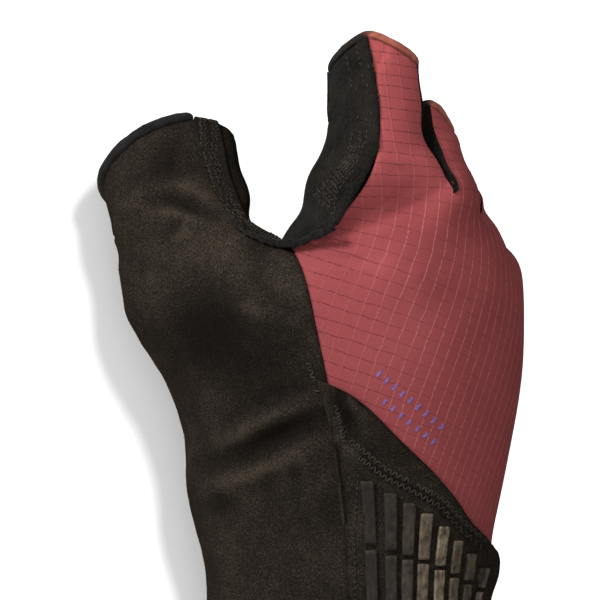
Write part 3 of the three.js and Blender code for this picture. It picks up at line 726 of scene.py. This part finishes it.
dark_neighbours = [v.co for name in ("index_side_knit", *STRIPS.values(), "palm_suede")
                   for v in finished[name].data.vertices]
red_neighbours = [v.co for v in back.data.vertices]
for finger in ("index", "middle", "ring", "little"):
    hem = trim_copy([f"{finger}_hem"], f"{finger}_coral_hem", 3, 0.3, coral, 0.05)
    hem_points = read(hem)
    nearer_dark = distance_to(hem_points, red_neighbours) - distance_to(hem_points, dark_neighbours)
    store(hem, "other", np.clip(nearer_dark / 0.8 + 0.5, 0, 1))
    push(hem, 0.12 * ripple(hem_points, 2.0, 2))
thumb_edge = trim_copy(["thumb_binding"], "thumb_opening_binding", 3, 0.2, binding, 0.8)
push(thumb_edge, 0.25 * ripple(read(thumb_edge), 2.0, 4))
trim_copy(["cuff_binding"], "cuff_opening_binding", 2, 0.15, binding)
web_seam = trim_copy(["web_piping"], "web_rolled_seam", 3, 0.0, rolled)
web_points = read(web_seam)
push(web_seam, 0.5 * ripple(web_points, 2.0, 6) + 0.25 * ripple(web_points, 0.9, 8))


# Surfaces that rays are cast on

def tree_of(pieces):
    """Several pieces as one surface."""
    verts, faces = [], []
    for piece in pieces:
        base = len(verts)
        verts.extend(v.co.copy() for v in piece.data.vertices)
        faces.extend([base + i for i in p.vertices] for p in piece.data.polygons)
    return BVHTree.FromPolygons(verts, faces)


def skin_tree(piece):
    """The piece's outer skin alone."""
    skin = read(piece, "skin")
    faces = [list(p.vertices) for p in piece.data.polygons if skin[list(p.vertices)].min() > 0.9]
    return BVHTree.FromPolygons([v.co.copy() for v in piece.data.vertices], faces)


def seen_from_above(tree, x, y):
    """The place on a surface that is seen straight from above, or None, and its normal."""
    return tree.ray_cast(Vector((x, y, 200 * MM)), Vector((0, 0, -1)))[:2]


# Silicone bars

# The bars are pressed this far into the flap, in mm, so that they stand only a little above it
BAR_SUNK = 0.5
# How much painted highlight each bar takes, and its move along the flap to where the photo shows it, in
# mm
BARS = {
    1: (0.03, (0.1, 0.6)), 2: (0.06, (-0.1, 0.8)), 3: (0.16, (-1.0, 1.4)), 4: (0.55, (-1.9, 1.9)),
    5: (0.92, (-2.0, 1.9)), 6: (0.5, (-2.1, 1.5)), 7: (0.3, (-2.1, 1.4)), 8: (0.15, (-2.1, 1.2)),
    9: (0.1, (-2.1, 1.0)), 10: (0.1, (-2.1, 1.0)),
}
BAR_NODES = {f"grip_bar_{row}_{i}": bar for row in ("upper", "lower") for i, bar in BARS.items()}


def shell_of_points(piece):
    """The lowest point number in the connected shell that each point is in."""
    owner = np.arange(len(piece.data.vertices))
    ends = np.zeros(len(piece.data.edges) * 2, np.int32)
    piece.data.edges.foreach_get("vertices", ends)
    ends = ends.reshape(-1, 2)
    while True:
        low = np.minimum(owner[ends[:, 0]], owner[ends[:, 1]])
        before = owner.copy()
        np.minimum.at(owner, ends[:, 0], low)
        np.minimum.at(owner, ends[:, 1], low)
        if np.array_equal(before, owner):
            return owner


def slide_on_flap(point, move_mm):
    """A point after a move in plan, in mm, at its old height above the flap."""
    step = np.array((*move_mm, 0.0)) * MM
    here, there = (seen_from_above(flap_tree, *place[:2])[0] for place in (point, point + step))
    if here and there:
        step[2] = there.z - here.z
    return point + step


flap_tree = skin_tree(flap)
bars = trim_copy(list(BAR_NODES), "grip_bars_silicone", 2, 0.6, silicone)
bar_points = read(bars)
shell = shell_of_points(bars)
middles = {start: bar_points[shell == start].mean(axis=0) for start in np.unique(shell)}
# Painted highlight: each bar gets its share of the paler colours
bar_painted_glint = np.zeros(len(bar_points))
for node_name, (painted_glint, move) in BAR_NODES.items():
    middle = drawn([np.mean(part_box(node_name), axis=0)])[0]
    nearest = min(middles, key=lambda start: np.linalg.norm(middles[start] - middle))
    bar_painted_glint[shell == nearest] = painted_glint
    for i in np.flatnonzero(shell == nearest):
        bar_points[i] = slide_on_flap(bar_points[i], move)
place_points(bars, bar_points)
store(bars, "painted_glint", bar_painted_glint)
push(bars, 0.1 * ripple(bar_points, 1.6, 9))
place_points(bars, np.array([Vector(p) - flap_tree.find_nearest(Vector(p))[1] * BAR_SUNK * MM
                             for p in read(bars)]))
shown_tree = tree_of(finished.values())


# The cloth's own coordinates on the back, in tenths of a metre along the surface

# The weave's turn on the hand and on the fingers, and where along y it changes, in metres
HAND_TURN, FINGER_TURN = math.radians(20), math.radians(-8)
TURN_FROM, TURN_OVER = 22 * MM, 26 * MM
# Past this y the cross threads lie this much closer in plan, because the finger slopes down
SLOPE_FROM, SLOPE_SHARE = 36 * MM, 0.3
# Tenths of a metre in a metre, times the cosine of the hand's turn
CLOTH_SCALE = 9.4
# The cloth of the back is unrolled from a cylinder
HAND_AXIS = Vector((22.0, 0.0, 18.0)) * MM
HAND_RADIUS = 39.0 * MM


def lay_cloth_grid(piece):
    """Lays the weave over the back, turned less on the finger than on the hand, and notes as "outer"
    how far a point is to the outer side, which sets how the painted highlight and shade fall on the
    threads, and in a second attribute the painted light that makes the index finger paler."""
    points = read(piece)
    angle = np.arctan2(points[:, 0] - HAND_AXIS.x, points[:, 2] - HAND_AXIS.z)
    across, along = angle * HAND_RADIUS, points[:, 1]
    steps = np.linspace(-0.1, 0.1, 401)
    turn = HAND_TURN + (FINGER_TURN - HAND_TURN) * np.clip((steps - TURN_FROM) / TURN_OVER, 0, 1)
    drift = np.cumsum(np.tan(turn)) * (steps[1] - steps[0])
    slope = np.tan(np.interp(along, steps, np.abs(turn)))
    stretched = along + SLOPE_SHARE * np.maximum(along - SLOPE_FROM, 0)
    turned = np.stack([across - np.interp(along, steps, drift), stretched + across * slope], axis=1)
    turned *= CLOTH_SCALE
    layer = piece.data.uv_layers.new(name="cloth")
    corner = np.zeros(len(piece.data.loops), np.int32)
    piece.data.loops.foreach_get("vertex_index", corner)
    layer.data.foreach_set("uv", turned[corner].astype(np.float32).ravel())
    x, y = points[:, 0] / MM, points[:, 1] / MM
    # Painted light: the index finger is paler
    store(piece, "painted_finger_light", 0.55 * np.clip((y - 27) / 12, 0, 1) * np.clip((42 - x) / 10, 0, 1))
    store(piece, "outer", np.clip((x - 8) / 22, 0, 1) * np.clip((48 - y) / 14, 0.1, 1))


lay_cloth_grid(back)


# Stitches

def add_stitch(threads, hole_shade_dots, a, b, normal, thick_mm):
    """One stitch from a to b: a short round-ended strand that bows off the cloth, between two dark
    dots of painted shade where the needle went through. Nothing is added right beside the table."""
    if min(a.z, b.z) < 1.0 * MM or (b - a).length < 0.2 * MM:
        return
    along = (b - a).normalized()
    across = normal.cross(along).normalized()
    up = along.cross(across)
    turn = Matrix((along, across, up)).transposed().to_4x4()
    reach = (b - a).length / 2 + thick_mm * MM * 0.2
    size = Matrix.Diagonal((reach, thick_mm * MM / 2, thick_mm * MM / 2, 1))
    middle = Matrix.Translation((a + b) / 2 + up * thick_mm * MM * 0.15)
    bmesh.ops.create_uvsphere(threads, u_segments=6, v_segments=5, radius=1, matrix=middle @ turn @ size)
    # Dark dots of painted shade at both ends, where the needle went through
    size = Matrix.Diagonal((thick_mm * MM * 0.6, thick_mm * MM * 0.6, thick_mm * MM * 0.3, 1))
    for end in (a, b):
        bmesh.ops.create_icosphere(hole_shade_dots, subdivisions=1, radius=1,
                                   matrix=Matrix.Translation(end) @ turn @ size)


def row_in_plan(rows, line_mm, length, gap, thick, lean=0.0):
    """A row of stitches along a smooth line in the plan view, in mm. lean is its zigzag's width."""
    stops = curve_through([Vector((x, y, 0)) for x, y in line_mm])
    places = even_stops(stops, length + gap)
    for i, (start, after) in enumerate(zip(places, places[1:])):
        along = (after - start).normalized()
        across = Vector((-along.y, along.x, 0)) * (lean / 2 * (-1) ** i)
        (a, na), (b, nb) = (seen_from_above(shown_tree, end.x * MM, end.y * MM)
                            for end in (start - across, start + along * length + across))
        if a and b and (a - b).length < 3 * length * MM:
            add_stitch(*rows, a, b, (na + nb).normalized(), thick)


def row_on_panel(rows, tree, seam, inset, length, gap, thick, lean=0.0, keep=None, jitter=0.0):
    """A row of stitches on a panel, beside a seam at an even distance in mm."""
    places = even_stops(curve_through(seam, 6), (length + gap) * MM)
    steps = max(1, round(inset / 1.2))
    for i, (start, after) in enumerate(zip(places, places[1:])):
        along = (after - start).normalized()
        place = start
        for _ in range(steps):
            spot, normal, _, _ = tree.find_nearest(place)
            place = spot + normal.cross(along).normalized() * (inset / steps) * MM
        spot, normal, _, _ = tree.find_nearest(place)
        if keep and not keep(spot / MM):
            continue
        across = normal.cross(along).normalized() * lean / 2 * MM * (-1) ** i
        off = Vector((math.sin(i * 12.9), math.sin(i * 78.2), math.sin(i * 37.7))) * jitter * MM
        a, na, _, _ = tree.find_nearest(spot - across + off)
        b, nb, _, _ = tree.find_nearest(spot + along * length * MM + across - off)
        if na.dot(nb) > 0.3:
            add_stitch(*rows, a, b, (na + nb).normalized(), thick)


def stitched(name, make):
    """Two pieces, one of threads and one of dark dots of painted needle-hole shade, that a function fills
    in.
    """
    rows = bmesh.new(), bmesh.new()
    make(rows)
    new_piece(name + "_stitches", rows[0], thread)
    new_piece(name + "_hole_shade", rows[1], painted_hole_shade)


def thumb_rows(rows):
    tree = skin_tree(inner_thumb)
    for inset, lean in ((0.8, 1.0), (1.9, 0.5), (4.1, 0.6), (5.3, 1.1)):
        row_on_panel(rows, tree, thumb_seam, inset, 0.8, 0.25, 0.4, lean, jitter=0.2)
    for line in outline_rows("thumb_gusset"):
        row_on_panel(rows, tree, line, 1.1, 1.0, 0.5, 0.35, keep=lambda p: p.y > 52)


# How far in from the red cloth each row of overlock lies, and how far up the finger it runs, in mm
OVERLOCK_ROWS = [(1.4, 31), (2.4, 34), (4.6, 50), (5.6, 53), (6.6, 50), (8.6, 41), (9.6, 39), (10.6, 37),
                 (11.6, 35), (12.6, 33)]


def side_rows(rows):
    tree = skin_tree(side)
    for inset, lean in ((3.6, 0.2), (7.6, 0.2)):
        row_on_panel(rows, tree, side_seam, inset, 1.1, 0.55, 0.4, lean, jitter=0.08)
    for inset, top in OVERLOCK_ROWS:
        row_on_panel(rows, tree, side_seam, inset, 0.9, 0.35, 0.4, 0.9, jitter=0.3,
                     keep=lambda p, limit=top: p.y < limit)


def flap_rows(rows):
    above = [(x + 1.2, y + 1.6) for x, y in BORDER_ROW]
    for line in (BORDER_ROW, above):
        row_in_plan(rows, line, 0.75, 0.1, 0.55, 1.5)
    row_in_plan(rows, [(11.9, -33.5), (10.9, -50.2), (11.1, -57.6), (11.2, -74.0)], 0.9, 0.7, 0.5)
    row_in_plan(rows, [(-0.9, -5.1), (1.6, -13.0)], 0.7, 0.2, 0.5, 1.4)
    row_in_plan(rows, [(6.0, -15.9), (8.5, -26.4)], 0.7, 0.2, 0.5, 1.4)


def palm_rows(rows):
    tree = skin_tree(palm)
    for line in outline_rows("palm_panel"):
        row_on_panel(rows, tree, line, 2.2, 1.9, 0.7, 0.42)
    for node_name, piece_name in STRIPS.items():
        tree = skin_tree(finished[piece_name])
        for line in outline_rows(node_name):
            row_on_panel(rows, tree, line, 1.6, 1.5, 0.6, 0.4)


stitched("thumb_seam", thumb_rows)
stitched("index_side", side_rows)
stitched("wrist_flap", flap_rows)
stitched("palm_and_side", palm_rows)


# Printed marks: short plain strokes

def print_strokes(bm):
    for line, count, size in (([(17.0, -7.9), (32.9, -21.5)], 9, (0.35, 1.9)),
                              ([(18.5, -15.1), (30.9, -25.3)], 7, (0.35, 1.7))):
        a, b = (Vector((*p, 0)) for p in line)
        along = (b - a).normalized()
        across = Vector((-along.y, along.x, 0))
        for i in range(count):
            middle = a.lerp(b, i / (count - 1))
            lower, upper = [], []
            for u, v in ((-1, -1), (1, -1), (1, 1), (-1, 1)):
                corner = (middle + along * size[0] * u + across * size[1] * v / 2) * MM
                place, normal = seen_from_above(shown_tree, corner.x, corner.y)
                lower.append(bm.verts.new(place + normal * 0.03 * MM))
                upper.append(bm.verts.new(place + normal * 0.12 * MM))
            bm.faces.new(upper)
            bm.faces.new(lower[::-1])
            for k in range(4):
                n = (k + 1) % 4
                bm.faces.new((lower[k], lower[n], upper[n], upper[k]))
    bmesh.ops.recalc_face_normals(bm, faces=bm.faces)


stroke_mesh = bmesh.new()
print_strokes(stroke_mesh)
marks = new_piece("back_printed_strokes", stroke_mesh, ink)
marks.data.shade_flat()


# Floor, light and camera

floor_mesh = bmesh.new()
bmesh.ops.create_grid(floor_mesh, x_segments=2, y_segments=2, size=3.0)
floor_data = bpy.data.meshes.new("floor")
floor_mesh.to_mesh(floor_data)
floor_mesh.free()
floor = bpy.data.objects.new("floor", floor_data)
bpy.context.scene.collection.objects.link(floor)
floor.location.z = -0.4 * MM
# Matt white paper: no gloss and no marks, so the eye sees only the shadow on it
paper_node, paper_finish = new_material("matt_paper", 1.0, 0.0)
paper_place = paper_node("TexCoord", out="Object")
paper_tone = paper_node("TexNoise", {"Vector": paper_place, "Scale": per(400.0)})
floor_data.materials.append(paper_finish(paper_node(
    "ValToRGB", {"Fac": paper_tone}, stops=[(0.0, "#f6f6f6"), (1.0, "#f8f8f8")])))
# The paper throws no light back up on the glove, whose underside and edges are dark in the photo
floor.visible_diffuse = False
floor.visible_glossy = False

world = bpy.data.worlds.new("studio")
bpy.context.scene.world = world
world.use_nodes = True
world.node_tree.nodes.clear()
sky = partial(add_node, world.node_tree)
direction = sky("TexCoord", out="Generated")
height = sky("SeparateXYZ", {"Vector": direction}, out="Z")
glow = sky("MapRange", {"Value": height, "From Min": 0.0, "From Max": 1.0, "To Min": 0.1, "To Max": 0.85})
above = sky("Math", {0: height, 1: 0.0}, operation="GREATER_THAN")
glow = sky("Math", {0: glow, 1: above}, operation="MULTIPLY")
glow = sky("Math", {0: glow, 1: 0.03}, operation="ADD")
sky("OutputWorld", {"Surface": sky("Background", {"Strength": glow, "Color": (1, 1, 1, 1)})})


def area_light(name, place, size, power, receivers, blockers=()):
    """A round lamp aimed at the glove. It lights only the receivers, and only the blockers, where
    there are any, cast its shadows."""
    lamp = bpy.data.lights.new(name, "AREA")
    lamp.shape = "DISK"
    lamp.size = size
    lamp.energy = power
    holder = bpy.data.objects.new(name, lamp)
    holder.location = place
    holder.rotation_euler = (Vector((0, 0, 0.02)) - Vector(place)).to_track_quat("-Z", "Y").to_euler()
    bpy.context.scene.collection.objects.link(holder)
    for role, things in (("receiver", receivers), ("blocker", blockers)):
        if things:
            group = bpy.data.collections.new(f"{name}_{role}s")
            for thing in things:
                group.objects.link(thing)
            setattr(holder.light_linking, role + "_collection", group)
    return holder


low_pieces = [finished[name] for name in ("thumb_suede", "thumb_inner_suede", "thumb_opening_binding",
                                          "cuff_opening_binding", "wrist_flap_suede")]
area_light("table_lamp", (0.5, 0.75, 1.4), 0.3, 25.0, [floor], low_pieces)
area_light("table_fill", (0.0, 0.0, 1.5), 1.0, 6.0, [floor]).data.use_shadow = False
area_light("glove_lamp", (-0.75, 0.7, 1.0), 0.35, 19.0, list(finished.values()))
area_light("back_lamp", (0.6, 0.9, 1.0), 0.5, 4.0,
           [back, marks, *(finished[f"{finger}_coral_hem"] for finger in ("index", "middle", "ring"))])

PHOTO_MIDDLE = Vector((-3.01, 10.77, 30.0)) * MM
PHOTO_WIDTH = 153.85 * MM
DISTANCE = 2.4
lens = bpy.data.cameras.new("camera")
lens.sensor_width = 36.0
lens.lens = lens.sensor_width * DISTANCE / PHOTO_WIDTH
lens.clip_end = 20.0
camera = bpy.data.objects.new("camera", lens)
camera.location = PHOTO_MIDDLE + Vector((0, 0, DISTANCE))
bpy.context.scene.collection.objects.link(camera)
bpy.context.scene.camera = camera
bpy.context.scene.view_settings.view_transform = "Standard"
